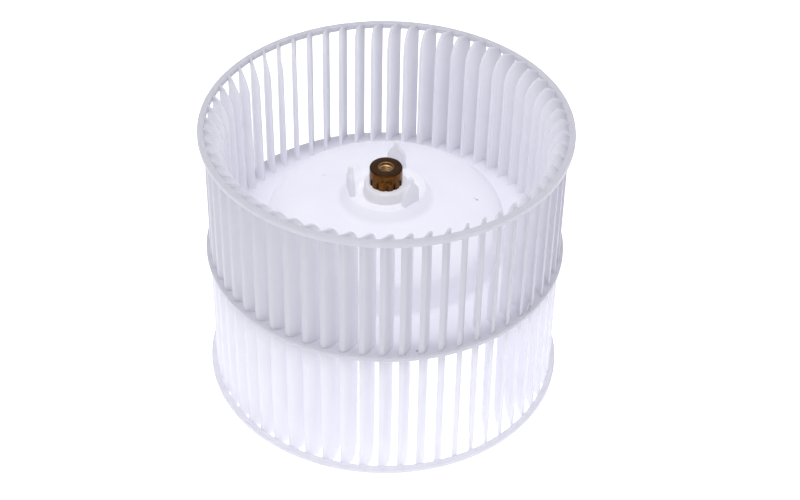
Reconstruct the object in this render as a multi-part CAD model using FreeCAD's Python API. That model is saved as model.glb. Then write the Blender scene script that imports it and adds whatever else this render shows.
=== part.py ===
import FreeCAD, Part
import math
import os

# Double-inlet blower wheel of a range hood: one white moulding with a brass insert in its hub.
# Frame: the wheel's axis is Z, the lower ring stands on Z = 0, millimetres.

# Wheel as a whole
WHEEL_DIAMETER = 150.0
WHEEL_HEIGHT = 122.0

# End rings
RING_WALL = 2.8
RING_HEIGHT = 2.6

# Blades
BLADE_COUNT = 59
BLADE_THICKNESS = 1.2
BLADE_DEPTH = 7.9
BLADE_SWEEP = 3.5             # degrees of azimuth from the tip to the inner edge
BLADE_BULGE = 1.2             # rise of the curved section over its chord
BLADE_PHASE = 0.25            # degrees, azimuth of the first tip
BLADE_BITE = 0.5              # how far the tips run into the rings
BLADE_DRAFT = 0.7             # the inner edge is this much deeper at the flange
SHOULDER_HEIGHT = 11.0        # the inner edge curves outwards over this height at each inlet
SHOULDER_DEPTH = 4.6          # and leaves this much less blade at the ring
SECTION_FLATS = 3             # flats that follow the curve of the section
SHOULDER_FLATS = 3            # flats that follow the curve of a shoulder

# Middle flange
FLANGE_DIAMETER = 148.4
FLANGE_THICKNESS = 2.2
FLANGE_TOP = 63.7

# Dome over the motor room
DOME_FOOT_DIAMETER = 101.0
DOME_SHOULDER_DIAMETER = 96.6
DOME_SHOULDER_RISE = 15.3     # above the flange's upper face
DOME_CROWN_RISE = 8.0         # from the shoulder to the foot of the boss
DOME_WALL = 2.2
DOME_FOOT_FILLET = 2.0
DOME_SHOULDER_FILLET = 5.0
DOME_SHOULDER_FLATS = 2

# Hub boss
BOSS_DIAMETER = 18.0
BOSS_RISE = 5.6               # above the crown of the dome
BOSS_CHAMFER = 1.0

# Collar round the boss, on which the prongs stand
COLLAR_DIAMETER = 32.6
COLLAR_WALL = 4.2
COLLAR_RISE = 3.2             # above the crown of the dome
COLLAR_FLARE = 2.6            # how far its foot spreads on the dome
COLLAR_CHAMFER = 0.8

# Brass insert
INSERT_DIAMETER = 13.4
INSERT_LENGTH = 22.0
INSERT_STAND = 7.6            # above the boss
INSERT_CHAMFER = 0.5
KEY_COUNT = 12
KEY_GROOVE_WIDTH = 1.2
KEY_GROOVE_DEPTH = 0.9
KEY_GROOVE_STAND = 3.4        # length of the grooves that shows above the boss
BORE_DIAMETER = 5.0
BORE_CHAMFER = 0.5

# Prongs round the hub
PRONG_COUNT = 3
PRONG_RADIUS = 14.6
PRONG_PHASE = 72.5            # degrees
PRONG_THICKNESS = 2.0
PRONG_FOOT_WIDTH = 8.2
PRONG_SHOULDER_WIDTH = 7.6
PRONG_SHOULDER_RISE = 4.6     # all rises are above the collar
PRONG_NECK_WIDTH = 2.4
PRONG_NECK_RISE = 9.4
PRONG_TIP_WIDTH = 1.8
PRONG_RISE = 12.6
PRONG_BULGE = 0.7             # how far the curved shoulder swells over its chord
PRONG_ROOT = 1.5              # how far the foot runs into the collar

# Derived sizes
ring_outer_radius = WHEEL_DIAMETER / 2
ring_inner_radius = ring_outer_radius - RING_WALL
blade_tip_radius = ring_inner_radius + BLADE_BITE
blade_inner_radius = blade_tip_radius - BLADE_DEPTH
flange_bottom = FLANGE_TOP - FLANGE_THICKNESS
dome_shoulder_z = FLANGE_TOP + DOME_SHOULDER_RISE
crown_z = dome_shoulder_z + DOME_CROWN_RISE
boss_radius = BOSS_DIAMETER / 2
boss_top = crown_z + BOSS_RISE
collar_radius = COLLAR_DIAMETER / 2
collar_top = crown_z + COLLAR_RISE
insert_top = boss_top + INSERT_STAND
insert_bottom = insert_top - INSERT_LENGTH
key_groove_top = boss_top + KEY_GROOVE_STAND

Z_AXIS = FreeCAD.Vector(0, 0, 1)
ORIGIN = FreeCAD.Vector(0, 0, 0)


def polar(radius, azimuth, height=0.0):
    """Point at a radius and an azimuth in degrees."""
    turn = math.radians(azimuth)
    return FreeCAD.Vector(radius * math.cos(turn), radius * math.sin(turn), height)


def curve_points(centre, radius, start, end, flats):
    """Points along an arc in the XZ plane, from one turn to another in degrees."""
    turns = [math.radians(start + (end - start) * step / flats) for step in range(flats + 1)]
    return [centre + FreeCAD.Vector(math.cos(t), 0, math.sin(t)) * radius for t in turns]


def corner_points(last, corner, following, fillet, flats):
    """Points that round a corner of a half section, or break it where flats is one."""
    to_last = (last - corner).normalize()
    to_next = (following - corner).normalize()
    half = to_last.getAngle(to_next) / 2
    centre = corner + (to_last + to_next).normalize() * (fillet / math.sin(half))
    reach = fillet / math.tan(half)
    first = corner + to_last * reach - centre
    second = corner + to_next * reach - centre
    start = math.degrees(math.atan2(first.z, first.x))
    turn = (math.degrees(math.atan2(second.z, second.x)) - start + 180) % 360 - 180
    return curve_points(centre, fillet, start, start + turn, flats)


def turned(corners):
    """Solid of revolution from (radius, height, fillet, flats) corners of its half section."""
    places = [FreeCAD.Vector(r, 0, z) for r, z, _, _ in corners]
    points = []
    for index, (_, _, fillet, flats) in enumerate(corners):
        if fillet > 0:
            following = places[(index + 1) % len(places)]
            points += corner_points(places[index - 1], places[index], following, fillet, flats)
        else:
            points.append(places[index])
    section = Part.Face(Part.makePolygon(points + points[:1]))
    return section.revolve(ORIGIN, Z_AXIS, 360)


def end_ring(bottom):
    """Hoop that ties the blade tips at an inlet."""
    top = bottom + RING_HEIGHT
    return turned([
        (ring_inner_radius, bottom, 0, 0),
        (ring_outer_radius, bottom, 0, 0),
        (ring_outer_radius, top, 0, 0),
        (ring_inner_radius, top, 0, 0),
    ])


def shoulder_points():
    """Curve of the inner edge at the upper inlet, from the straight edge to the mouth."""
    radius = (SHOULDER_DEPTH ** 2 + SHOULDER_HEIGHT ** 2) / (2 * SHOULDER_DEPTH)
    turn = math.degrees(math.asin(SHOULDER_HEIGHT / radius))
    centre = FreeCAD.Vector(blade_inner_radius + radius, 0, WHEEL_HEIGHT - SHOULDER_HEIGHT)
    return curve_points(centre, radius, 180, 180 - turn, SHOULDER_FLATS)


def blade_outline():
    """Side view of one blade, given a depth across the radius."""
    waist = blade_inner_radius - BLADE_DRAFT
    upper = shoulder_points()
    lower = [FreeCAD.Vector(point.x, 0, WHEEL_HEIGHT - point.z) for point in reversed(upper)]
    points = lower + [
        FreeCAD.Vector(waist, 0, flange_bottom),
        FreeCAD.Vector(waist, 0, FLANGE_TOP),
    ] + upper + [
        FreeCAD.Vector(blade_tip_radius, 0, WHEEL_HEIGHT),
        FreeCAD.Vector(blade_tip_radius, 0, 0),
    ]
    side = Part.Face(Part.makePolygon(points + points[:1]))
    side.translate(FreeCAD.Vector(0, -BLADE_DEPTH, 0))
    return side.extrude(FreeCAD.Vector(0, 2 * BLADE_DEPTH, 0))


def blade_strip():
    """Full-height curved strip of one blade, a little longer than the trimmed blade."""
    tip = polar(blade_tip_radius, 0)
    root = polar(blade_inner_radius - BLADE_DRAFT, BLADE_SWEEP)
    chord = tip - root
    normal = FreeCAD.Vector(-chord.y, chord.x, 0).normalize()
    radius = chord.Length ** 2 / (8 * BLADE_BULGE) + BLADE_BULGE / 2
    centre = (tip + root) * 0.5 + normal * (BLADE_BULGE - radius)
    spare = BLADE_THICKNESS / radius
    start = math.atan2(tip.y - centre.y, tip.x - centre.x) - spare
    end = math.atan2(root.y - centre.y, root.x - centre.x) + spare
    turns = [start + (end - start) * step / SECTION_FLATS for step in range(SECTION_FLATS + 1)]
    rays = [FreeCAD.Vector(math.cos(turn), math.sin(turn), 0) for turn in turns]
    back = [centre + ray * (radius + BLADE_THICKNESS / 2) for ray in rays]
    front = [centre + ray * (radius - BLADE_THICKNESS / 2) for ray in reversed(rays)]
    section = Part.Face(Part.makePolygon(back + front + back[:1]))
    return section.extrude(Z_AXIS * WHEEL_HEIGHT)


def blades():
    """All blades, each a turned copy of the trimmed first one."""
    first = blade_strip().common(blade_outline())
    pitch = 360 / BLADE_COUNT
    copies = []
    for index in range(BLADE_COUNT):
        copy = first.copy()
        copy.rotate(ORIGIN, Z_AXIS, BLADE_PHASE + index * pitch)
        copies.append(copy)
    return copies


def dome_and_flange():
    """Middle flange, dome over the motor room, collar and hub boss as one turned wall."""
    rim = FLANGE_DIAMETER / 2
    foot = DOME_FOOT_DIAMETER / 2
    shoulder = DOME_SHOULDER_DIAMETER / 2
    inner_fillet = DOME_SHOULDER_FILLET - DOME_WALL
    collar_foot = collar_radius + COLLAR_FLARE
    collar_inner = collar_radius - COLLAR_WALL
    return turned([
        (rim, flange_bottom, 0, 0),
        (rim, FLANGE_TOP, 0, 0),
        (foot, FLANGE_TOP, DOME_FOOT_FILLET, 1),
        (shoulder, dome_shoulder_z, DOME_SHOULDER_FILLET, DOME_SHOULDER_FLATS),
        (collar_foot, crown_height(collar_foot), 0, 0),
        (collar_radius, collar_top, COLLAR_CHAMFER, 1),
        (collar_inner, collar_top, 0, 0),
        (collar_inner, crown_z, 0, 0),
        (boss_radius, crown_z, 0, 0),
        (boss_radius, boss_top, BOSS_CHAMFER, 1),
        (0, boss_top, 0, 0),
        (0, insert_bottom, 0, 0),
        (boss_radius, insert_bottom, 0, 0),
        (boss_radius, crown_z - DOME_WALL, BOSS_CHAMFER, 1),
        (shoulder - DOME_WALL, dome_shoulder_z - DOME_WALL, inner_fillet, 1),
        (foot - DOME_WALL, flange_bottom, DOME_FOOT_FILLET, 1),
    ])


def crown_height(radius):
    """Height of the dome's upper face at a radius between the boss and the shoulder."""
    run = DOME_SHOULDER_DIAMETER / 2 - boss_radius
    return crown_z - (radius - boss_radius) / run * DOME_CROWN_RISE


def prong_outline():
    """Face of one prong seen along the radius: a broad foot, curved shoulders and a slim tip."""
    half_foot = PRONG_FOOT_WIDTH / 2
    half_shoulder = PRONG_SHOULDER_WIDTH / 2
    half_neck = PRONG_NECK_WIDTH / 2
    half_tip = PRONG_TIP_WIDTH / 2
    foot = FreeCAD.Vector(0, half_foot, -PRONG_ROOT)
    shoulder = FreeCAD.Vector(0, half_shoulder, PRONG_SHOULDER_RISE)
    neck = FreeCAD.Vector(0, half_neck, PRONG_NECK_RISE)
    tip = FreeCAD.Vector(0, half_tip, PRONG_RISE - half_tip)
    crest = FreeCAD.Vector(0, 0, PRONG_RISE)
    chord = neck - shoulder
    outwards = FreeCAD.Vector(0, chord.z, -chord.y).normalize()
    swell = (shoulder + neck) * 0.5 + outwards * PRONG_BULGE
    side = [
        Part.LineSegment(foot, shoulder).toShape(),
        Part.Arc(shoulder, swell, neck).toShape(),
        Part.LineSegment(neck, tip).toShape(),
    ]
    mirrored = [edge.mirror(ORIGIN, FreeCAD.Vector(0, 1, 0)) for edge in side]
    cap = Part.Arc(tip, crest, FreeCAD.Vector(0, -half_tip, tip.z)).toShape()
    base = Part.LineSegment(FreeCAD.Vector(0, -half_foot, foot.z), foot).toShape()
    return Part.Face(Part.Wire(Part.__sortEdges__(side + [cap] + mirrored + [base])))


def prong(azimuth):
    """Upright plate across the radius that stands on the collar."""
    plate = prong_outline().extrude(FreeCAD.Vector(PRONG_THICKNESS, 0, 0))
    plate.translate(FreeCAD.Vector(PRONG_RADIUS - PRONG_THICKNESS / 2, 0, collar_top))
    plate.rotate(ORIGIN, Z_AXIS, azimuth)
    return plate


def prongs():
    """The prongs, evenly spaced round the hub."""
    return [prong(PRONG_PHASE + index * 360 / PRONG_COUNT) for index in range(PRONG_COUNT)]


def hub_insert():
    """Brass bush with key grooves on its lower length and a threaded bore's core hole."""
    radius = INSERT_DIAMETER / 2
    bore = BORE_DIAMETER / 2
    body = Part.Face(Part.makePolygon([
        FreeCAD.Vector(bore + BORE_CHAMFER, 0, insert_bottom),
        FreeCAD.Vector(radius, 0, insert_bottom),
        FreeCAD.Vector(radius, 0, insert_top - INSERT_CHAMFER),
        FreeCAD.Vector(radius - INSERT_CHAMFER, 0, insert_top),
        FreeCAD.Vector(bore + BORE_CHAMFER, 0, insert_top),
        FreeCAD.Vector(bore, 0, insert_top - BORE_CHAMFER),
        FreeCAD.Vector(bore, 0, insert_bottom + BORE_CHAMFER),
        FreeCAD.Vector(bore + BORE_CHAMFER, 0, insert_bottom),
    ])).revolve(ORIGIN, Z_AXIS, 360)
    return body.cut(Part.makeCompound(key_grooves()))


def key_grooves():
    """Upright grooves that lock the insert in the moulding."""
    grooves = []
    for index in range(KEY_COUNT):
        groove = Part.makeBox(
            2 * KEY_GROOVE_DEPTH,
            KEY_GROOVE_WIDTH,
            key_groove_top - insert_bottom,
            FreeCAD.Vector(INSERT_DIAMETER / 2 - KEY_GROOVE_DEPTH, -KEY_GROOVE_WIDTH / 2, insert_bottom),
        )
        groove.rotate(ORIGIN, Z_AXIS, index * 360 / KEY_COUNT)
        grooves.append(groove)
    return grooves


def blower_wheel(insert):
    """The moulding, with the insert's own shape left free in its hub."""
    disc = dome_and_flange().fuse(prongs())
    core = Part.makeCylinder(
        BORE_DIAMETER / 2 + BORE_CHAMFER,
        INSERT_LENGTH,
        FreeCAD.Vector(0, 0, insert_bottom),
    )
    hub = disc.cut([insert, core])
    rings = [end_ring(0), end_ring(WHEEL_HEIGHT - RING_HEIGHT)]
    return hub.fuse(rings + blades()).removeSplitter()


def main():
    os.makedirs("parts", exist_ok=True)
    insert = hub_insert()
    wheel = blower_wheel(insert)
    for name, shape in (("blower_wheel", wheel), ("hub_insert", insert)):
        shape.exportStep("parts/" + name + ".step")
        print(name, "solids", len(shape.Solids), "volume", round(shape.Volume), "valid", shape.isValid())


main()
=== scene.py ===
import logging
import math
from dataclasses import dataclass
from enum import Enum
from typing import Callable, Iterable, Sequence

import bmesh
import bpy
from mathutils import Matrix, Vector


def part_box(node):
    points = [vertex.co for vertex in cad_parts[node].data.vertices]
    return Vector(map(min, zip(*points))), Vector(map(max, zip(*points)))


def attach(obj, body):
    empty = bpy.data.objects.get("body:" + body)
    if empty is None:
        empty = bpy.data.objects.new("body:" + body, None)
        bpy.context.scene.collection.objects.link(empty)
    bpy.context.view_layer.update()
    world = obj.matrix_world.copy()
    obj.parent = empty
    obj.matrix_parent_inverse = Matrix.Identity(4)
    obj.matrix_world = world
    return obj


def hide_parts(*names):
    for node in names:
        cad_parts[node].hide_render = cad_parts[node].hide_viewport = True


# A double-inlet blower wheel of a range hood: a white, slightly translucent moulding with a
# tarnished brass bush in its hub. Sizes are in millimetres and become metres in the meshes,
# and the angles that describe a piece are in degrees.

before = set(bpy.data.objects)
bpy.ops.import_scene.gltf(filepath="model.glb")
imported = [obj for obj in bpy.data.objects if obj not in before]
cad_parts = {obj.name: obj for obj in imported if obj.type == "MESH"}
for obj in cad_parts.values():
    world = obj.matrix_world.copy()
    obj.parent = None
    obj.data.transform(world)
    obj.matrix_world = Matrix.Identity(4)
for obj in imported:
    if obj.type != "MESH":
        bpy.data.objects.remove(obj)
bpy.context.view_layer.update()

MM = 0.001
FULL_TURN = 2 * math.pi
ROOT_BODY = "root"
WHEEL_NODE = "blower_wheel"
INSERT_NODE = "hub_insert"
PHOTO_WIDTH = 800
BLADE_COUNT = 59
FLANGE_TOP = 63.7
MERGE_DISTANCE = 0.002

# Sockets of the node that mixes colours, which also has sockets for numbers and vectors.
MIX_SHARE = 0
MIX_FIRST = 6
MIX_SECOND = 7
MIX_RESULT = 2

log = logging.getLogger("blower_wheel")


class Slot(Enum):
    """Material slots that the part's record names."""

    WHITE_MOULDING = "white_moulding"
    INSERT_BRASS = "insert_brass"


class Inlet(Enum):
    """The two open ends of the wheel, with the sign of their side of the flange."""

    LOWER = -1
    UPPER = 1


def metres(*values: float) -> Vector:
    """Return millimetre coordinates as a vector in metres."""
    return Vector(values) * MM


def polar(radius: float, turn: float, height: float = 0.0) -> Vector:
    """Return the point at a radius, a turn in radians and a height, all kept in millimetres."""
    return Vector((radius * math.cos(turn), radius * math.sin(turn), height))


def deselect_all() -> None:
    """Leave edit mode and deselect every object."""
    if bpy.context.object and bpy.context.object.mode != "OBJECT":
        bpy.ops.object.mode_set(mode="OBJECT")
    bpy.ops.object.select_all(action="DESELECT")


def make_active(piece: bpy.types.Object) -> None:
    """Select one object alone and make it the active one.

    Args:
        piece: The object to work on.
    """
    deselect_all()
    piece.select_set(True)
    bpy.context.view_layer.objects.active = piece


def apply_place(piece: bpy.types.Object) -> None:
    """Move an object's place, turn and scale into its mesh.

    Args:
        piece: The object whose transform is applied.
    """
    make_active(piece)
    bpy.ops.object.transform_apply(location=True, rotation=True, scale=True)


def apply_modifier(piece: bpy.types.Object, kind: str, **settings: object) -> None:
    """Add one modifier, give it its settings and apply it.

    Args:
        piece: The object that the modifier shapes.
        kind: Kind of the modifier.
        **settings: Values of the modifier's properties.
    """
    make_active(piece)
    modifier = piece.modifiers.new(kind.lower(), kind)
    for name, value in settings.items():
        setattr(modifier, name, value)
    bpy.ops.object.modifier_apply(modifier=modifier.name)


def ease_edges(piece: bpy.types.Object, width: float, segments: int = 2, angle: float = 40.0) -> None:
    """Round the sharp edges of a piece.

    Args:
        piece: The object with sharp edges.
        width: Width of the rounding in millimetres.
        segments: Number of faces across the rounding.
        angle: Edges sharper than this, in degrees, are rounded.
    """
    apply_modifier(
        piece,
        "BEVEL",
        width=width * MM,
        segments=segments,
        limit_method="ANGLE",
        angle_limit=math.radians(angle),
        harden_normals=False,
    )


def finish_mesh(piece: bpy.types.Object, smooth_angle: float = 35.0) -> None:
    """Merge doubled points, turn the faces outwards and shade the round stretches smooth.

    Args:
        piece: The object to clean.
        smooth_angle: Edges flatter than this, in degrees, are shaded smooth.
    """
    make_active(piece)
    bpy.ops.object.mode_set(mode="EDIT")
    bpy.ops.mesh.select_all(action="SELECT")
    bpy.ops.mesh.remove_doubles(threshold=MERGE_DISTANCE * MM)
    bpy.ops.mesh.normals_make_consistent(inside=False)
    bpy.ops.object.mode_set(mode="OBJECT")
    bpy.ops.object.shade_smooth_by_angle(angle=math.radians(smooth_angle))


def turned_copies(piece: bpy.types.Object, count: int, name: str) -> bpy.types.Object:
    """Copy a piece evenly round the axis and join the copies.

    Args:
        piece: The first piece, which stays where it is.
        count: Number of pieces in all.
        name: Name of the joined object.

    Returns:
        The joined object.
    """
    copies = [piece]
    for index in range(1, count):
        copy = piece.copy()
        copy.data = piece.data.copy()
        copy.matrix_world = Matrix.Rotation(index * FULL_TURN / count, 4, "Z")
        bpy.context.collection.objects.link(copy)
        copies.append(copy)
    deselect_all()
    for copy in copies:
        copy.select_set(True)
    bpy.context.view_layer.objects.active = piece
    bpy.ops.object.join()
    piece.name = name
    apply_place(piece)
    return piece


def arc_points(centre: Vector, radius: float, start: float, end: float, steps: int) -> list[Vector]:
    """Return points along an arc in the XZ plane.

    Args:
        centre: Centre of the arc.
        radius: Radius of the arc.
        start: First turn in radians, from +X towards +Z.
        end: Last turn in radians.
        steps: Number of chords along the arc.

    Returns:
        The arc's points, both ends included.
    """
    turns = [start + (end - start) * step / steps for step in range(steps + 1)]
    return [centre + Vector((math.cos(turn), 0, math.sin(turn))) * radius for turn in turns]


def rounded_outline(corners: list[tuple[float, float, float]], steps: int = 5) -> list[Vector]:
    """Round the corners of a half section.

    Args:
        corners: Radius, height and rounding of each corner, in order round the section.
        steps: Number of chords along each rounding.

    Returns:
        Points of the closed outline.
    """
    places = [Vector((radius, 0, height)) for radius, height, _ in corners]
    outline: list[Vector] = []
    for index, (_, _, rounding) in enumerate(corners):
        corner = places[index]
        if rounding == 0:
            outline.append(corner)
            continue
        to_last = (places[index - 1] - corner).normalized()
        to_next = (places[(index + 1) % len(places)] - corner).normalized()
        half = to_last.angle(to_next) / 2
        centre = corner + (to_last + to_next).normalized() * (rounding / math.sin(half))
        first = corner + to_last * (rounding / math.tan(half)) - centre
        second = corner + to_next * (rounding / math.tan(half)) - centre
        start = math.atan2(first.z, first.x)
        turn = (math.atan2(second.z, second.x) - start + math.pi) % FULL_TURN - math.pi
        outline += arc_points(centre, rounding, start, start + turn, steps)
    return outline


def draw_outline(name: str, outline: Iterable[Vector]) -> bpy.types.Object:
    """Draw a closed outline as a chain of edges, point after point.

    Args:
        name: Name of the new object.
        outline: Points in millimetres.

    Returns:
        The object, left in edit mode with all of it selected.
    """
    points = list(outline)
    deselect_all()
    bpy.ops.mesh.primitive_plane_add(size=MM)
    piece = bpy.context.object
    piece.name = name
    bpy.ops.object.mode_set(mode="EDIT")
    bpy.ops.mesh.select_all(action="SELECT")
    bpy.ops.mesh.merge(type="CENTER")
    bpy.ops.transform.translate(value=metres(*points[0]))
    for last, following in zip(points, points[1:]):
        step = metres(*(following - last))
        bpy.ops.mesh.extrude_region_move(TRANSFORM_OT_translate={"value": step})
    bpy.ops.mesh.select_all(action="SELECT")
    mesh = bmesh.from_edit_mesh(piece.data)
    mesh.edges.new([corner for corner in mesh.verts if len(corner.link_edges) == 1])
    bmesh.update_edit_mesh(piece.data)
    bpy.ops.mesh.select_all(action="SELECT")
    return piece


def turn_outline(name: str, outline: Iterable[Vector], steps: int) -> bpy.types.Object:
    """Spin a half section about the wheel's axis into a closed ring.

    Args:
        name: Name of the new object.
        outline: Points of the half section in millimetres.
        steps: Number of segments round the axis.

    Returns:
        The turned object.
    """
    piece = draw_outline(name, outline)
    bpy.ops.mesh.spin(steps=steps, angle=FULL_TURN, center=(0, 0, 0), axis=(0, 0, 1))
    finish_mesh(piece)
    return piece


def cut_away(plane_point: Vector, away: Vector) -> None:
    """Cut the mesh in edit mode by a plane, drop what lies beyond it and close the cut.

    Args:
        plane_point: A point of the plane, in millimetres.
        away: Direction of the side that goes.
    """
    bpy.ops.mesh.select_all(action="SELECT")
    bpy.ops.mesh.bisect(
        plane_co=metres(*plane_point),
        plane_no=away,
        use_fill=True,
        clear_outer=True,
    )


def dress(piece: bpy.types.Object, material: bpy.types.Material, node: str) -> None:
    """Give a piece its material, hang it on the root body and hide the solid that it stands for.

    Args:
        piece: The finished piece.
        material: The material of the whole piece.
        node: The solid that the piece stands for.
    """
    piece.data.materials.clear()
    piece.data.materials.append(material)
    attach(piece, ROOT_BODY)
    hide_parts(node)


def seen_share(tree: bpy.types.NodeTree) -> bpy.types.NodeSocket:
    """Tell the rays that show a surface from those that only carry its light.

    Args:
        tree: Nodes of the material or the surround.

    Returns:
        A socket that is one where the surface is seen and nought elsewhere.
    """
    path = tree.nodes.new("ShaderNodeLightPath")
    total = path.outputs["Is Camera Ray"]
    for name in ("Is Glossy Ray", "Is Transmission Ray"):
        either = tree.nodes.new("ShaderNodeMath")
        either.operation = "MAXIMUM"
        tree.links.new(total, either.inputs[0])
        tree.links.new(path.outputs[name], either.inputs[1])
        total = either.outputs[0]
    return total


def two_strengths(tree: bpy.types.NodeTree, plain: float, seen: float) -> bpy.types.NodeSocket:
    """Return a strength that differs between the light given and the surface seen.

    Args:
        tree: Nodes of the material or the surround.
        plain: Strength of the light that falls on the wheel.
        seen: Strength of the surface to the eye.

    Returns:
        The strength's socket.
    """
    node = tree.nodes.new("ShaderNodeMapRange")
    node.inputs["To Min"].default_value = plain
    node.inputs["To Max"].default_value = seen
    tree.links.new(seen_share(tree), node.inputs["Value"])
    return node.outputs["Result"]


class Shader:
    """Small helper that builds a node tree for one material."""

    def __init__(self, name: str) -> None:
        """Start an empty material with an output and a principled shader.

        Args:
            name: Name of the material.
        """
        self.material = bpy.data.materials.new(name)
        self.material.use_nodes = True
        self.nodes = self.material.node_tree.nodes
        self.links = self.material.node_tree.links
        self.principled = self.nodes["Principled BSDF"]
        self.output = self.nodes["Material Output"]
        self.place = self.add("ShaderNodeTexCoord").outputs["Object"]

    def add(self, kind: str, **settings: object) -> bpy.types.Node:
        """Add a node and set its properties and unlinked inputs.

        Args:
            kind: Kind of the node.
            **settings: Properties by name, or inputs by name with spaces as underscores.

        Returns:
            The new node.
        """
        node = self.nodes.new(kind)
        for name, value in settings.items():
            label = name.replace("_", " ")
            if label in node.inputs:
                node.inputs[label].default_value = value
            else:
                setattr(node, name, value)
        return node

    def join(self, source: bpy.types.NodeSocket, target: bpy.types.NodeSocket) -> None:
        """Link an output to an input."""
        self.links.new(source, target)

    def scaled(
        self, value: bpy.types.NodeSocket, source: Sequence[float], target: Sequence[float]
    ) -> bpy.types.NodeSocket:
        """Return a value mapped smoothly from one range to another and held at its ends.

        Args:
            value: The value's socket.
            source: The value's range.
            target: The result's range.

        Returns:
            The mapped value's socket.
        """
        node = self.add("ShaderNodeMapRange", interpolation_type="SMOOTHSTEP")
        node.inputs["From Min"].default_value = source[0]
        node.inputs["From Max"].default_value = source[1]
        node.inputs["To Min"].default_value = target[0]
        node.inputs["To Max"].default_value = target[1]
        self.join(value, node.inputs["Value"])
        return node.outputs["Result"]

    def maths(self, operation: str, *values: object) -> bpy.types.NodeSocket:
        """Return a sum, product or the like of sockets and numbers.

        Args:
            operation: Name of the operation.
            *values: Sockets or numbers, in order.

        Returns:
            The result's socket.
        """
        node = self.add("ShaderNodeMath", operation=operation)
        for index, value in enumerate(values):
            if isinstance(value, bpy.types.NodeSocket):
                self.join(value, node.inputs[index])
            else:
                node.inputs[index].default_value = value
        return node.outputs[0]

    def tinted(
        self, share: bpy.types.NodeSocket, first: bpy.types.NodeSocket, second: tuple[float, float, float]
    ) -> bpy.types.NodeSocket:
        """Return a colour mixed towards a plain one.

        Args:
            share: Weight of the plain colour.
            first: The colour at no weight.
            second: The plain colour.

        Returns:
            The mixed colour's socket.
        """
        node = self.add("ShaderNodeMix", data_type="RGBA")
        self.join(share, node.inputs[MIX_SHARE])
        self.join(first, node.inputs[MIX_FIRST])
        node.inputs[MIX_SECOND].default_value = (*second, 1.0)
        return node.outputs[MIX_RESULT]

    def coordinates(self) -> tuple[bpy.types.NodeSocket, bpy.types.NodeSocket, bpy.types.NodeSocket]:
        """Read where the shaded point lies round the wheel's axis.

        Returns:
            The sockets of its radius, its turn in radians and its height.
        """
        parts = self.add("ShaderNodeSeparateXYZ")
        self.join(self.place, parts.inputs[0])
        across = self.maths("POWER", parts.outputs["X"], 2.0)
        along = self.maths("POWER", parts.outputs["Y"], 2.0)
        radius = self.maths("SQRT", self.maths("ADD", across, along))
        turn = self.maths("ARCTAN2", parts.outputs["Y"], parts.outputs["X"])
        return radius, turn, parts.outputs["Z"]

    def glow(self, strength: bpy.types.NodeSocket, colour: tuple[float, float, float]) -> None:
        """Let the surface give a little light, as if some passed through it.

        Args:
            strength: Strength of the light.
            colour: Colour of the light.
        """
        self.join(strength, self.principled.inputs["Emission Strength"])
        self.principled.inputs["Emission Color"].default_value = (*colour, 1.0)
        self.material.cycles.emission_sampling = "NONE"

    def noise(self, scale: float, detail: float, roughness: float = 0.5) -> bpy.types.NodeSocket:
        """Return a noise factor on object coordinates.

        Args:
            scale: Cells to a metre.
            detail: Octaves of the noise.
            roughness: Weight of the fine octaves.

        Returns:
            The factor's socket.
        """
        node = self.add("ShaderNodeTexNoise", Scale=scale, Detail=detail, Roughness=roughness)
        self.join(self.place, node.inputs["Vector"])
        return node.outputs["Fac"]

    def ramp(self, factor: bpy.types.NodeSocket, stops: list[tuple[float, tuple]]) -> bpy.types.NodeSocket:
        """Return a colour ramp's colour.

        Args:
            factor: What drives the ramp.
            stops: Position and colour of each stop.

        Returns:
            The colour's socket.
        """
        node = self.add("ShaderNodeValToRGB")
        elements = node.color_ramp.elements
        for index, (position, colour) in enumerate(stops):
            element = elements[index] if index < 2 else elements.new(position)
            element.position = position
            element.color = (*colour, 1.0)
        self.join(factor, node.inputs["Fac"])
        return node.outputs["Color"]

    def bump(self, height: bpy.types.NodeSocket, distance: float, strength: float) -> bpy.types.NodeSocket:
        """Return a bumped normal.

        Args:
            height: Height factor.
            distance: Height of the bump in millimetres.
            strength: Weight of the bump.

        Returns:
            The normal's socket.
        """
        node = self.add("ShaderNodeBump", Distance=distance * MM, Strength=strength)
        self.join(height, node.inputs["Height"])
        return node.outputs["Normal"]


@dataclass(frozen=True)
class Speck:
    """One small mark on the moulding, as the photograph shows it."""

    x: float
    y: float
    z: float
    size: float
    colour: tuple[float, float, float]
    core: float = 0.55

    def stain(self, shader: Shader, colour: bpy.types.NodeSocket) -> bpy.types.NodeSocket:
        """Lay the mark over a colour.

        Args:
            shader: The material's helper.
            colour: The colour under the mark.

        Returns:
            The stained colour's socket.
        """
        gap = shader.add("ShaderNodeVectorMath", operation="DISTANCE")
        shader.join(shader.place, gap.inputs[0])
        gap.inputs[1].default_value = metres(self.x, self.y, self.z)
        rim = metres(self.size * self.core, self.size)
        share = shader.scaled(gap.outputs["Value"], rim, (1.0, 0.0))
        return shader.tinted(share, colour, self.colour)


DIRT = (0.03, 0.018, 0.012)
RUST = (0.12, 0.06, 0.03)
DUST = (0.60, 0.58, 0.60)
SPECKS = (
    Speck(37.67, 3.16, 81.14, 0.75, DIRT),
    Speck(36.6, 3.9, 81.4, 0.40, DIRT),
    Speck(12.10, -69.59, 63.7, 0.55, RUST),
    Speck(8.08, -71.54, 109.6, 0.35, DIRT),
    Speck(13.47, 63.59, 100.4, 0.40, DIRT),
    Speck(18.21, -73.9, 1.6, 0.45, DUST),
    Speck(-14.73, -71.6, 66.8, 0.60, DUST),
    Speck(-26.07, 17.04, 82.5, 0.70, DUST),
    Speck(-24.9, 17.3, 82.7, 0.60, DUST),
)


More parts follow.
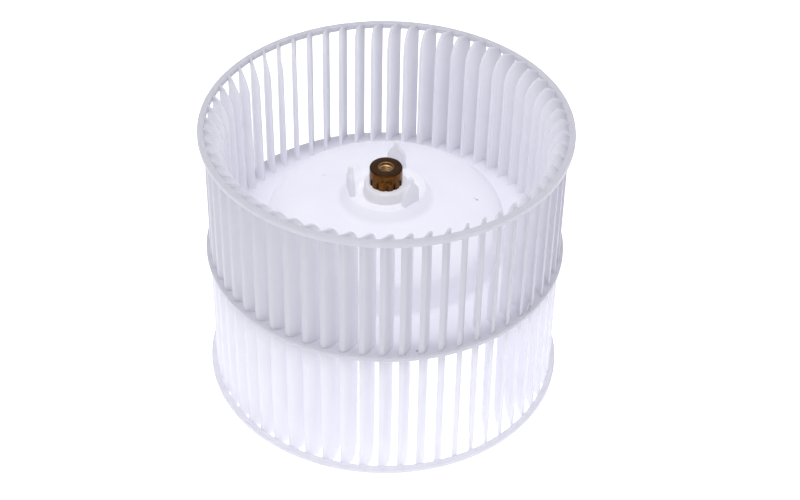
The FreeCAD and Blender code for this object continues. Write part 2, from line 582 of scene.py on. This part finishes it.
@dataclass(frozen=True)
class MouldedPlastic:
    """White polypropylene with a faint lavender cast that lets some light through its walls.

    The bands are in millimetres. Across the low band the painted glow of the lower half gives way to
    the heavier painted edge shade of the upper half, across the rim band the blades' inner colour to
    the painted shade at their tips and on the hoops, and across the hub band the painted glow of the
    lit boss to the rest.
    """

    name: str = "white moulding"
    pale: tuple[float, float, float] = (0.92, 0.92, 0.95)
    deep: tuple[float, float, float] = (0.86, 0.86, 0.91)
    # Painted shade: the darker lavender grey at the blade tips and hoops, stronger above the flange, stands
    # for less light coming through the thicker plastic there.
    edge: tuple[float, float, float] = (0.60, 0.595, 0.68)
    passed: tuple[float, float, float] = (0.90, 0.90, 0.94)
    glow_colour: tuple[float, float, float] = (0.98, 0.98, 1.0)
    low_band: tuple[float, float] = (50.0, 66.0)
    rim_band: tuple[float, float] = (65.5, 72.5)
    hub_band: tuple[float, float] = (9.5, 19.0)
    roughness: float = 0.28
    translucency: float = 0.55
    edge_veil: float = 0.3
    cloud_scale: float = 60.0
    cloud_stops: tuple[float, float] = (0.3, 0.7)
    grain_scale: float = 900.0
    grain_height: float = 0.03
    grain_weight: float = 0.4
    edge_shade_weight: float = 0.62
    low_edge_shade_weight: float = 0.2
    stripe_weight: float = 0.0
    stripe_range: tuple[float, float] = (-0.2, 1.0)
    stripes: int = BLADE_COUNT
    # Painted light: glows in the lower half, inside the blade ring and round the boss stand for light coming
    # through the walls.
    low_glow: float = 0.10
    inner_glow: float = 0.15
    hub_glow: float = 0.30
    specks: tuple[Speck, ...] = SPECKS

    def build(self) -> bpy.types.Material:
        """Build the material.

        Returns:
            The new material.
        """
        shader = Shader(self.name)
        radius, turn, height = shader.coordinates()
        # Painted light: low marks the lower half, which gets a glow.
        low = shader.scaled(height, metres(*self.low_band), (1.0, 0.0))
        # Painted shade: edge darkens the colour towards the blade tips and hoops, more above the flange than
        # below.
        outer = shader.scaled(radius, metres(*self.rim_band), (0.0, 1.0))
        weights = (self.low_edge_shade_weight, self.edge_shade_weight)
        weight = shader.scaled(height, metres(*self.low_band), weights)
        edge = shader.maths("MULTIPLY", outer, weight)
        colour = self._colour(shader, edge, turn)
        shader.join(colour, shader.principled.inputs["Base Color"])
        shader.principled.inputs["Roughness"].default_value = self.roughness
        grain = shader.noise(scale=self.grain_scale, detail=3.0)
        normal = shader.bump(grain, self.grain_height, self.grain_weight)
        shader.join(normal, shader.principled.inputs["Normal"])
        # Painted light: the boss glows most, and the rest inside the blade ring a little.
        inner = shader.scaled(radius, metres(*self.hub_band), (self.hub_glow, self.inner_glow))
        inner = shader.maths("MULTIPLY", inner, shader.maths("SUBTRACT", 1.0, outer))
        glow = shader.maths("MAXIMUM", shader.maths("MULTIPLY", low, self.low_glow), inner)
        shader.glow(glow, self.glow_colour)
        self._let_light_through(shader, edge)
        return shader.material

    def _let_light_through(self, shader: Shader, edge: bpy.types.NodeSocket) -> None:
        """Mix in light that passes through the wall, less of it at the darker edges.

        Args:
            shader: The material's helper.
            edge: Share of the painted edge shade.
        """
        passing = shader.add("ShaderNodeBsdfTranslucent", Color=(*self.passed, 1.0))
        mix = shader.add("ShaderNodeMixShader")
        veil = shader.maths("MULTIPLY", edge, self.edge_veil)
        shader.join(shader.maths("SUBTRACT", self.translucency, veil), mix.inputs[0])
        shader.join(shader.principled.outputs[0], mix.inputs[1])
        shader.join(passing.outputs[0], mix.inputs[2])
        shader.join(mix.outputs[0], shader.output.inputs["Surface"])

    def _colour(
        self, shader: Shader, edge: bpy.types.NodeSocket, turn: bpy.types.NodeSocket
    ) -> bpy.types.NodeSocket:
        """Return the cloudy white with its painted edge shade, stripes one per blade and specks.

        Args:
            shader: The material's helper.
            edge: Share of the painted edge shade.
            turn: Turn of the shaded point in radians.

        Returns:
            The colour's socket.
        """
        clouds = shader.noise(scale=self.cloud_scale, detail=5.0)
        colour = shader.ramp(clouds, list(zip(self.cloud_stops, (self.deep, self.pale))))
        wave = shader.maths("SINE", shader.maths("MULTIPLY", turn, float(self.stripes)))
        stripe = shader.scaled(wave, self.stripe_range, (0.0, self.stripe_weight))
        # Painted shade: the edge colour is laid over the tips, the hoops and the upper half; the stripes
        # take the same colour.
        colour = shader.tinted(shader.maths("MAXIMUM", edge, stripe), colour, self.edge)
        for speck in self.specks:
            colour = speck.stain(shader, colour)
        return colour


@dataclass(frozen=True)
class TarnishedBrass:
    """Turned brass with a dark brown oxide, rubbed patches that are partly painted glints, and a thread in a
    bore with painted light.

    Across the crown band, in millimetres, the brown side gives way to the darker top face, and
    across the bore band the painted light in the bore, standing for light that comes up through it, gives
    way to the rest.
    """

    oxide: tuple[float, float, float] = (0.022, 0.009, 0.003)
    brown: tuple[float, float, float] = (0.15, 0.062, 0.014)
    # Rubbed brass: partly real wear, partly painted glints.
    rubbed_wear_and_glint: tuple[float, float, float] = (0.45, 0.25, 0.08)
    # Painted light: the pale tan in the bore, with its glow, stands for light coming up through the open
    # bore.
    bore_painted_light: tuple[float, float, float] = (0.32, 0.19, 0.09)
    glow_colour: tuple[float, float, float] = (0.9, 0.6, 0.35)
    crown_band: tuple[float, float] = (99.6, 100.0)
    bore_band: tuple[float, float] = (3.05, 3.35)
    crown_weight: float = 0.85
    bore_glow: float = 0.03
    roughness: float = 0.30
    patch_scale: float = 520.0
    patch_stops: tuple[float, float, float, float] = (0.34, 0.50, 0.68, 0.78)
    pit_scale: float = 2600.0
    turning_waves: float = 30000.0
    turning_weight: float = 0.15
    relief_height: float = 0.04
    relief_weight: float = 0.6

    def build(self) -> bpy.types.Material:
        """Build the material.

        Returns:
            The new material.
        """
        shader = Shader("tarnished brass")
        radius, _, height = shader.coordinates()
        # The brightest patches of the ramp are partly rubbed wear and partly painted glints.
        patches = shader.noise(scale=self.patch_scale, detail=7.0, roughness=0.65)
        tones = (self.oxide, self.brown, self.brown, self.rubbed_wear_and_glint)
        colour = shader.ramp(patches, list(zip(self.patch_stops, tones)))
        crown = shader.scaled(height, metres(*self.crown_band), (0.0, self.crown_weight))
        colour = shader.tinted(crown, colour, self.oxide)
        # Painted light: the bore is brightened to a pale tan and made to glow, standing for light coming up
        # through it.
        inside = shader.scaled(radius, metres(*self.bore_band), (1.0, 0.0))
        colour = shader.tinted(inside, colour, self.bore_painted_light)
        shader.join(colour, shader.principled.inputs["Base Color"])
        shader.principled.inputs["Metallic"].default_value = 1.0
        shader.principled.inputs["Roughness"].default_value = self.roughness
        shader.glow(shader.maths("MULTIPLY", inside, self.bore_glow), self.glow_colour)
        rings = shader.maths("SINE", shader.maths("MULTIPLY", radius, self.turning_waves))
        pits = shader.noise(scale=self.pit_scale, detail=4.0)
        relief = shader.maths("ADD", shader.maths("MULTIPLY", rings, self.turning_weight), pits)
        normal = shader.bump(relief, self.relief_height, self.relief_weight)
        shader.join(normal, shader.principled.inputs["Normal"])
        return shader.material


@dataclass
class EndRing:
    """Hoop round the blade tips at one inlet."""

    inlet: Inlet
    outer_radius: float
    wall: float = 2.8
    height: float = 2.6
    rounding: float = 0.7
    steps: int = 180

    def build(self, wheel_height: float) -> bpy.types.Object:
        """Build the hoop.

        Args:
            wheel_height: Height of the whole wheel.

        Returns:
            The hoop's object.
        """
        bottom = 0.0 if self.inlet is Inlet.LOWER else wheel_height - self.height
        top = bottom + self.height
        inner = self.outer_radius - self.wall
        outline = rounded_outline([
            (inner, bottom, self.rounding),
            (self.outer_radius, bottom, self.rounding),
            (self.outer_radius, top, self.rounding),
            (inner, top, self.rounding),
        ])
        return turn_outline(f"{self.inlet.name.lower()}_ring", outline, self.steps)


@dataclass
class BladeCage:
    """All blades, each running through the flange from one ring to the other."""

    wheel_height: float
    tip_radius: float = 72.7
    depth: float = 7.9
    count: int = BLADE_COUNT
    thickness: float = 1.2
    sweep: float = 3.5
    bulge: float = 1.2
    phase: float = 0.25
    draft: float = 0.7
    shoulder_height: float = 11.0
    shoulder_depth: float = 4.6
    shoulder_cuts: int = 6
    section_steps: int = 10
    flange_top: float = FLANGE_TOP
    rounding: float = 0.25

    @property
    def inner_radius(self) -> float:
        """Radius of the straight inner edge."""
        return self.tip_radius - self.depth

    def build(self) -> bpy.types.Object:
        """Model one blade and copy it round the axis.

        Returns:
            The joined blades.
        """
        blade = self._curved_strip()
        self._trim_edges()
        bpy.ops.object.mode_set(mode="OBJECT")
        ease_edges(blade, self.rounding)
        finish_mesh(blade)
        blade.rotation_euler.z = math.radians(self.phase)
        apply_place(blade)
        return turned_copies(blade, self.count, "blade_cage")

    def _section(self) -> list[Vector]:
        """Draw the curved section, a little longer than the trimmed blade.

        Returns:
            Points of the closed outline.
        """
        tip = polar(self.tip_radius, 0)
        root = polar(self.inner_radius - self.draft, math.radians(self.sweep))
        chord = tip - root
        normal = Vector((-chord.y, chord.x, 0)).normalized()
        radius = chord.length ** 2 / (8 * self.bulge) + self.bulge / 2
        centre = (tip + root) / 2 + normal * (self.bulge - radius)
        spare = self.thickness / radius
        start = math.atan2(tip.y - centre.y, tip.x - centre.x) - spare
        end = math.atan2(root.y - centre.y, root.x - centre.x) + spare
        steps = self.section_steps
        turns = [start + (end - start) * step / steps for step in range(steps + 1)]
        back = [centre + polar(radius + self.thickness / 2, turn) for turn in turns]
        front = [centre + polar(radius - self.thickness / 2, turn) for turn in reversed(turns)]
        return back + front

    def _curved_strip(self) -> bpy.types.Object:
        """Fill the section and raise it to the wheel's height.

        Returns:
            The strip, left in edit mode.
        """
        strip = draw_outline("blade", self._section())
        bpy.ops.mesh.edge_face_add()
        rise = metres(0, 0, self.wheel_height)
        bpy.ops.mesh.extrude_region_move(TRANSFORM_OT_translate={"value": rise})
        bpy.ops.mesh.select_all(action="SELECT")
        bpy.ops.mesh.normals_make_consistent(inside=False)
        return strip

    def _trim_edges(self) -> None:
        """Cut the strip to the ring's radius outside and to its shouldered edge inside."""
        cut_away(Vector((self.tip_radius, 0, 0)), Vector((1, 0, 0)))
        upper = self._shoulder_points()
        waist = Vector((self.inner_radius - self.draft, 0, self.flange_top))
        edge = [waist] + upper
        for low, high in zip(edge, edge[1:]):
            along = (high - low).normalized()
            cut_away(low, Vector((-along.z, 0, along.x)))
            mirrored = Vector((low.x, 0, self.wheel_height - low.z))
            cut_away(mirrored, Vector((-along.z, 0, -along.x)))

    def _shoulder_points(self) -> list[Vector]:
        """Follow the inner edge at the upper inlet, from its straight stretch to the ring.

        Returns:
            Points along the edge.
        """
        depth = self.shoulder_depth
        height = self.shoulder_height
        radius = (depth ** 2 + height ** 2) / (2 * depth)
        turn = math.asin(height / radius)
        centre = Vector((self.inner_radius + radius, 0, self.wheel_height - height))
        return arc_points(centre, radius, math.pi, math.pi - turn, self.shoulder_cuts)


@dataclass
class HubDisc:
    """Middle flange, dome over the motor room and hub boss in one turned wall."""

    boss_bottom: float
    rim_radius: float = 74.2
    flange_top: float = FLANGE_TOP
    flange_thickness: float = 2.2
    foot_radius: float = 50.5
    shoulder_radius: float = 48.3
    shoulder_rise: float = 15.3
    crown_rise: float = 8.0
    wall: float = 2.2
    boss_radius: float = 9.0
    boss_rise: float = 5.6
    bore_radius: float = 6.4
    collar_radius: float = 16.3
    collar_wall: float = 4.2
    collar_rise: float = 3.2
    collar_flare: float = 2.6
    rim_rounding: float = 0.6
    foot_fillet: float = 2.5
    shoulder_rounding: float = 5.0
    shoulder_fillet: float = 2.8
    collar_fillet: float = 3.0
    collar_rounding: float = 0.9
    lip_rounding: float = 0.7
    gutter_fillet: float = 0.8
    boss_rounding: float = 0.9
    boss_fillet: float = 1.2
    boss_chamfer: float = 0.3
    steps: int = 180

    @property
    def crown(self) -> float:
        """Height where the dome meets the boss."""
        return self.flange_top + self.shoulder_rise + self.crown_rise

    @property
    def collar_top(self) -> float:
        """Height of the collar on which the prongs stand."""
        return self.crown + self.collar_rise

    def build(self) -> bpy.types.Object:
        """Turn the disc's half section.

        Returns:
            The disc's object.
        """
        bottom = self.flange_top - self.flange_thickness
        shoulder = self.flange_top + self.shoulder_rise
        boss_top = self.crown + self.boss_rise
        collar_foot = self.collar_radius + self.collar_flare
        collar_inner = self.collar_radius - self.collar_wall
        fall = self.crown_rise / (self.shoulder_radius - self.boss_radius)
        foot_height = self.crown - (collar_foot - self.boss_radius) * fall
        outline = rounded_outline([
            (self.rim_radius, bottom, self.rim_rounding),
            (self.rim_radius, self.flange_top, self.rim_rounding),
            (self.foot_radius, self.flange_top, self.foot_fillet),
            (self.shoulder_radius, shoulder, self.shoulder_rounding),
            (collar_foot, foot_height, self.collar_fillet),
            (self.collar_radius, self.collar_top, self.collar_rounding),
            (collar_inner, self.collar_top, self.lip_rounding),
            (collar_inner, self.crown, self.gutter_fillet),
            (self.boss_radius, self.crown, self.gutter_fillet),
            (self.boss_radius, boss_top, self.boss_rounding),
            (self.bore_radius, boss_top, 0),
            (self.bore_radius, self.boss_bottom, 0),
            (self.boss_radius, self.boss_bottom, self.boss_chamfer),
            (self.boss_radius, self.crown - self.wall, self.boss_fillet),
            (self.shoulder_radius - self.wall, shoulder - self.wall, self.shoulder_fillet),
            (self.foot_radius - self.wall, bottom, self.foot_fillet),
        ])
        return turn_outline("hub_disc", outline, self.steps)


@dataclass
class HubProngs:
    """Three upright plates on the collar, each with a broad foot and a slim tip."""

    collar_top: float
    count: int = 3
    radius: float = 14.6
    phase: float = 72.5
    thickness: float = 2.0
    foot_width: float = 8.2
    shoulder_width: float = 7.6
    shoulder_rise: float = 4.6
    neck_width: float = 2.4
    neck_rise: float = 9.4
    tip_width: float = 1.8
    rise: float = 12.6
    bulge: float = 0.7
    root: float = 1.5
    rounding: float = 0.35
    curve_steps: int = 8

    def build(self) -> bpy.types.Object:
        """Model one prong and copy it round the axis.

        Returns:
            The joined prongs.
        """
        half = self._half_outline()
        outline = half + [Vector((point.x, -point.y, point.z)) for point in reversed(half)]
        prong = draw_outline("prong", outline)
        bpy.ops.mesh.edge_face_add()
        step = metres(self.thickness, 0, 0)
        bpy.ops.mesh.extrude_region_move(TRANSFORM_OT_translate={"value": step})
        bpy.ops.mesh.select_all(action="SELECT")
        bpy.ops.transform.translate(value=metres(self.radius - self.thickness / 2, 0, self.collar_top))
        bpy.ops.object.mode_set(mode="OBJECT")
        ease_edges(prong, self.rounding, segments=3, angle=50.0)
        finish_mesh(prong)
        prong.rotation_euler.z = math.radians(self.phase)
        apply_place(prong)
        return turned_copies(prong, self.count, "hub_prongs")

    def _half_outline(self) -> list[Vector]:
        """Draw one side of the plate, from the foot to the crest.

        Returns:
            Points of half the outline.
        """
        shoulder = Vector((0, self.shoulder_width / 2, self.shoulder_rise))
        neck = Vector((0, self.neck_width / 2, self.neck_rise))
        chord = neck - shoulder
        outwards = Vector((0, chord.z, -chord.y)).normalized()
        points = [Vector((0, self.foot_width / 2, -self.root))]
        for step in range(self.curve_steps + 1):
            share = step / self.curve_steps
            swell = 4 * share * (1 - share) * self.bulge
            points.append(shoulder + chord * share + outwards * swell)
        half_tip = self.tip_width / 2
        for step in range(self.curve_steps):
            turn = step / self.curve_steps * math.pi / 2
            height = self.rise - half_tip + half_tip * math.sin(turn)
            points.append(Vector((0, half_tip * math.cos(turn), height)))
        return points


@dataclass
class MouldFlash:
    """Curled sliver of plastic left on the flange's rim beside one blade."""

    radius: float = 73.1
    azimuth: float = -38.6
    height: float = 65.6
    curl_radius: float = 1.6
    sliver: float = 0.45
    turn: float = 290.0
    start: float = 200.0
    steps: int = 24
    sides: int = 8

    def build(self) -> bpy.types.Object:
        """Sweep a round sliver along an open curl and stand it on the flange.

        Returns:
            The curl's object.
        """
        last = FULL_TURN * (1 - 1 / self.sides)
        centre = Vector((self.curl_radius, 0, 0))
        section = arc_points(centre, self.sliver, 0, last, self.sides - 1)
        curl = draw_outline("mould_flash", section)
        turn = math.radians(self.turn)
        bpy.ops.mesh.spin(steps=self.steps, angle=turn, center=(0, 0, 0), axis=(0, 0, 1))
        bpy.ops.mesh.select_all(action="SELECT")
        bpy.ops.mesh.fill_holes(sides=self.sides)
        finish_mesh(curl)
        azimuth = math.radians(self.azimuth)
        upright = Matrix.Rotation(math.pi / 2, 4, "X") @ Matrix.Rotation(math.radians(self.start), 4, "Z")
        facing = Matrix.Rotation(azimuth + math.pi / 2, 4, "Z")
        place = Matrix.Translation(metres(*polar(self.radius, azimuth, self.height)))
        curl.matrix_world = place @ facing @ upright
        apply_place(curl)
        return curl


@dataclass
class HubInsert:
    """Brass bush with key grooves outside and a thread inside."""

    bottom: float
    top: float
    radius: float = 6.7
    rounding: float = 0.45
    foot_rounding: float = 0.2
    mouth_rounding: float = 0.25
    core_radius: float = 2.5
    thread_radius: float = 3.0
    thread_root: float = 0.05
    ridge_foot: float = 0.04
    ridge_flat: float = 0.16
    pitch: float = 1.0
    turns: int = 20
    turn_steps: int = 32
    groove_count: int = 12
    groove_width: float = 1.2
    groove_depth: float = 0.9
    groove_top: float = 96.0
    groove_rounding: float = 0.2
    steps: int = 96

    def build(self) -> bpy.types.Object:
        """Turn the bush, cut its grooves and add its thread.

        Returns:
            The joined bush.
        """
        mouth = self.thread_radius
        outline = rounded_outline([
            (mouth, self.bottom, self.foot_rounding),
            (self.radius, self.bottom, self.foot_rounding),
            (self.radius, self.top, self.rounding),
            (mouth, self.top, self.mouth_rounding),
        ])
        bush = turn_outline("hub_bush", outline, self.steps)
        cutter = self._groove_cutter()
        apply_modifier(bush, "BOOLEAN", operation="DIFFERENCE", object=cutter, solver="EXACT")
        bpy.data.objects.remove(cutter)
        finish_mesh(bush)
        thread = self._thread()
        deselect_all()
        bush.select_set(True)
        thread.select_set(True)
        bpy.context.view_layer.objects.active = bush
        bpy.ops.object.join()
        return bush

    def _groove_cutter(self) -> bpy.types.Object:
        """Model the bars that cut the key grooves.

        Returns:
            The bars as one object.
        """
        spare = 1.0
        low = self.bottom - spare
        depth = self.groove_depth + spare
        middle = metres(self.radius - self.groove_depth + depth / 2, 0, (low + self.groove_top) / 2)
        deselect_all()
        bpy.ops.mesh.primitive_cube_add(size=1, location=middle)
        cutter = bpy.context.object
        cutter.scale = metres(depth, self.groove_width, self.groove_top - low)
        apply_place(cutter)
        ease_edges(cutter, self.groove_rounding, segments=3)
        return turned_copies(cutter, self.groove_count, "groove_cutter")

    def _thread(self) -> bpy.types.Object:
        """Screw the thread's ridge up along the bore and close its ends.

        Returns:
            The ridge.
        """
        root = self.thread_radius + self.thread_root
        shares = (self.ridge_foot, 0.5 - self.ridge_flat / 2, 0.5 + self.ridge_flat / 2, 1 - self.ridge_foot)
        radii = (root, self.core_radius, self.core_radius, root)
        ridge = [Vector((radius, 0, share * self.pitch)) for radius, share in zip(radii, shares)]
        margin = (self.top - self.bottom - self.turns * self.pitch) / 2
        start = Vector((0, 0, self.bottom + margin - self.pitch / 2))
        thread = draw_outline("thread", [start + point for point in ridge])
        bpy.ops.object.mode_set(mode="OBJECT")
        apply_modifier(
            thread,
            "SCREW",
            axis="Z",
            angle=FULL_TURN,
            screw_offset=self.pitch * MM,
            iterations=self.turns,
            steps=self.turn_steps,
            render_steps=self.turn_steps,
        )
        finish_mesh(thread)
        bpy.ops.object.mode_set(mode="EDIT")
        bpy.ops.mesh.select_all(action="SELECT")
        bpy.ops.mesh.fill_holes(sides=len(ridge))
        bpy.ops.object.mode_set(mode="OBJECT")
        return thread


@dataclass(frozen=True)
class PhotoCamera:
    """Camera that stands where the photograph was taken.

    Lengths are in millimetres and angles in degrees. The orbit turns the camera about the
    wheel's axis until the blades stand as they do in the photograph.
    """

    focal_pixels: float = 1808.9
    distance: float = 755.2
    elevation: float = 39.53
    roll: float = 0.8127
    shift_right: float = 14.94
    shift_down: float = 8.48
    aim_height: float = 61.06
    sensor: float = 36.0
    orbit: float = -0.65

    def build(self) -> bpy.types.Object:
        """Create the camera and make it the scene's.

        Returns:
            The camera object.
        """
        elevation = math.radians(self.elevation)
        roll = math.radians(self.roll)
        forward = Vector((0, math.cos(elevation), -math.sin(elevation)))
        level = Vector((1, 0, 0))
        upright = level.cross(forward)
        right = level * math.cos(roll) + upright * math.sin(roll)
        up = upright * math.cos(roll) - level * math.sin(roll)
        place = metres(0, 0, self.aim_height) - forward * self.distance * MM
        aim = forward + right * (self.shift_right / self.focal_pixels)
        aim = (aim - up * (self.shift_down / self.focal_pixels)).normalized()
        right = (right - aim * right.dot(aim)).normalized()
        up = right.cross(aim)
        data = bpy.data.cameras.new("photo_camera")
        data.sensor_width = self.sensor
        data.lens = self.focal_pixels / PHOTO_WIDTH * self.sensor
        camera = bpy.data.objects.new("photo_camera", data)
        bpy.context.collection.objects.link(camera)
        turn = Matrix((right, up, -aim)).transposed().to_4x4()
        orbit = Matrix.Rotation(math.radians(self.orbit), 4, "Z")
        camera.matrix_world = orbit @ Matrix.Translation(place) @ turn
        bpy.context.scene.camera = camera
        return camera


@dataclass(frozen=True)
class SoftLamp:
    """One round soft lamp that looks at the wheel.

    Angles are in degrees, the distance and the size in metres, and the power in watts.
    """

    name: str
    azimuth: float
    elevation: float
    distance: float
    size: float
    power: float

    def build(self, aim: Vector) -> bpy.types.Object:
        """Create the lamp.

        Args:
            aim: Point that the lamp looks at, in metres.

        Returns:
            The lamp object.
        """
        data = bpy.data.lights.new(self.name, "AREA")
        data.shape = "DISK"
        data.size = self.size
        data.energy = self.power
        lamp = bpy.data.objects.new(self.name, data)
        bpy.context.collection.objects.link(lamp)
        turn = math.radians(self.azimuth)
        rise = math.radians(self.elevation)
        away = Vector((math.cos(rise) * math.cos(turn), math.cos(rise) * math.sin(turn), math.sin(rise)))
        lamp.location = aim + away * self.distance
        lamp.rotation_euler = away.to_track_quat("Z", "Y").to_euler()
        return lamp


@dataclass
class Studio:
    """Light table under a white surround, with a soft lamp above and one in front."""

    floor_span: float = 6.0
    floor_colour: tuple[float, float, float] = (0.8, 0.8, 0.8)
    floor_fleck: tuple[float, float, float] = (0.82, 0.82, 0.82)
    fleck_scale: float = 30.0
    floor_roughness: float = 0.9
    table_light: float = 0.66
    floor_glow: float = 0.45
    world_light: float = 0.5
    lamps: tuple[SoftLamp, ...] = (
        SoftLamp("top_softbox", azimuth=250, elevation=80, distance=1.3, size=0.9, power=6.0),
        SoftLamp("front_softbox", azimuth=262, elevation=46, distance=1.3, size=0.25, power=1.2),
    )

    def build(self, aim: Vector) -> None:
        """Build the floor, the surround and the lamps.

        Args:
            aim: Point that the lamps look at, in metres.
        """
        bpy.context.scene.view_settings.view_transform = "Standard"
        self._build_floor()
        self._build_world()
        for lamp in self.lamps:
            lamp.build(aim)

    def _build_floor(self) -> None:
        """Lay the lit table on which the wheel stands."""
        deselect_all()
        bpy.ops.mesh.primitive_plane_add(size=self.floor_span)
        floor = bpy.context.object
        floor.name = "floor"
        shader = Shader("white floor")
        grain = shader.noise(scale=self.fleck_scale, detail=2.0)
        colour = shader.ramp(grain, [(0.0, self.floor_colour), (1.0, self.floor_fleck)])
        shader.join(colour, shader.principled.inputs["Base Color"])
        shader.principled.inputs["Roughness"].default_value = self.floor_roughness
        seen = self.table_light + self.floor_glow
        strength = two_strengths(shader.material.node_tree, self.table_light, seen)
        shader.join(strength, shader.principled.inputs["Emission Strength"])
        shader.principled.inputs["Emission Color"].default_value = (1, 1, 1, 1)
        floor.data.materials.append(shader.material)

    def _build_world(self) -> None:
        """Make the surround: white to the eye, plain soft light to the wheel."""
        world = bpy.data.worlds.new("white surround")
        bpy.context.scene.world = world
        world.use_nodes = True
        background = world.node_tree.nodes["Background"]
        background.inputs["Color"].default_value = (1, 1, 1, 1)
        strength = two_strengths(world.node_tree, self.world_light, 1.0)
        world.node_tree.links.new(strength, background.inputs["Strength"])


def main() -> None:
    """Build the wheel, its bush, the camera and the studio, in order."""
    logging.basicConfig(level=logging.INFO, format="%(message)s")
    low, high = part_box(WHEEL_NODE)
    wheel_height = (high.z - low.z) / MM
    ring_radius = min(high.x, -low.x) / MM
    # Copies of one white moulding that differ in painted edge shade and painted glow; the hoops' copy also
    # has stripes.
    cage_finish = MouldedPlastic().build()
    ring_finish = MouldedPlastic(
        "white hoops", edge_shade_weight=0.7, low_edge_shade_weight=0.4, stripe_weight=0.45, low_glow=0.0
    ).build()
    disc_finish = MouldedPlastic("white disc", edge_shade_weight=0.8, inner_glow=0.04).build()
    prong_finish = MouldedPlastic("white prongs", inner_glow=0.07, hub_glow=0.07).build()
    brass = TarnishedBrass().build()
    insert_low, insert_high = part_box(INSERT_NODE)
    bush = HubInsert(insert_low.z / MM, insert_high.z / MM)
    disc = HubDisc(bush.bottom)
    white = (Slot.WHITE_MOULDING, WHEEL_NODE)
    plans: list[tuple[Callable[[], bpy.types.Object], bpy.types.Material, tuple[Slot, str]]] = [
        (lambda: EndRing(Inlet.LOWER, ring_radius).build(wheel_height), ring_finish, white),
        (lambda: EndRing(Inlet.UPPER, ring_radius).build(wheel_height), ring_finish, white),
        (BladeCage(wheel_height).build, cage_finish, white),
        (disc.build, disc_finish, white),
        (HubProngs(disc.collar_top).build, prong_finish, white),
        (MouldFlash().build, disc_finish, white),
        (bush.build, brass, (Slot.INSERT_BRASS, INSERT_NODE)),
    ]
    for build, finish, (slot, node) in plans:
        piece = build()
        dress(piece, finish, node)
        log.info("%s: %d faces", piece.name, len(piece.data.polygons))
    PhotoCamera().build()
    Studio().build((low + high) / 2)


if __name__ == "__main__":
    main()
